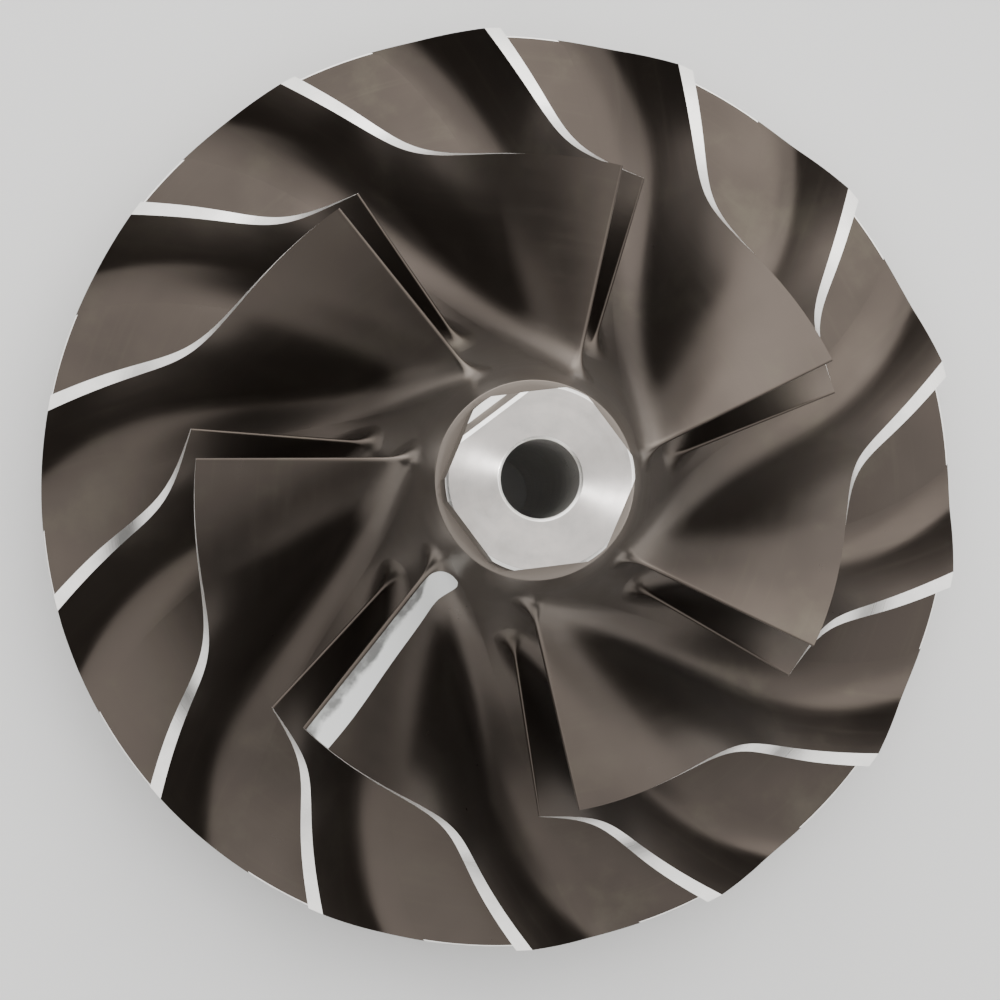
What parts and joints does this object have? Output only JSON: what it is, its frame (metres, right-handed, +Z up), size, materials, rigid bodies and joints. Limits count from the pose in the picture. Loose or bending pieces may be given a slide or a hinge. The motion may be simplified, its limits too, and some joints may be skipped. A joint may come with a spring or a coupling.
{
  "type": "turbocharger compressor wheel",
  "caption": "Milled radial compressor impeller: a curved hub on a full round back disc, with swept full and splitter blades, a hex-flatted nose and a through bore.",
  "frame": {"origin": "centre of the raised ring on the back face, where the bore's axis leaves the wheel", "axes": "+Z along the axis of rotation, from the back disc towards the nose; the wheel rests on its back with +Z up"},
  "size_m": [0.083, 0.083, 0.0453],
  "materials": {
    "milled_aluminium": "fine milled aluminium, smoke-darkened on the blades and hub, bright where turned at the blade edges, nose and back"
  },
  "bodies": {
    "root": {"compressor_wheel": "milled_aluminium"}
  },
  "joints": []
}
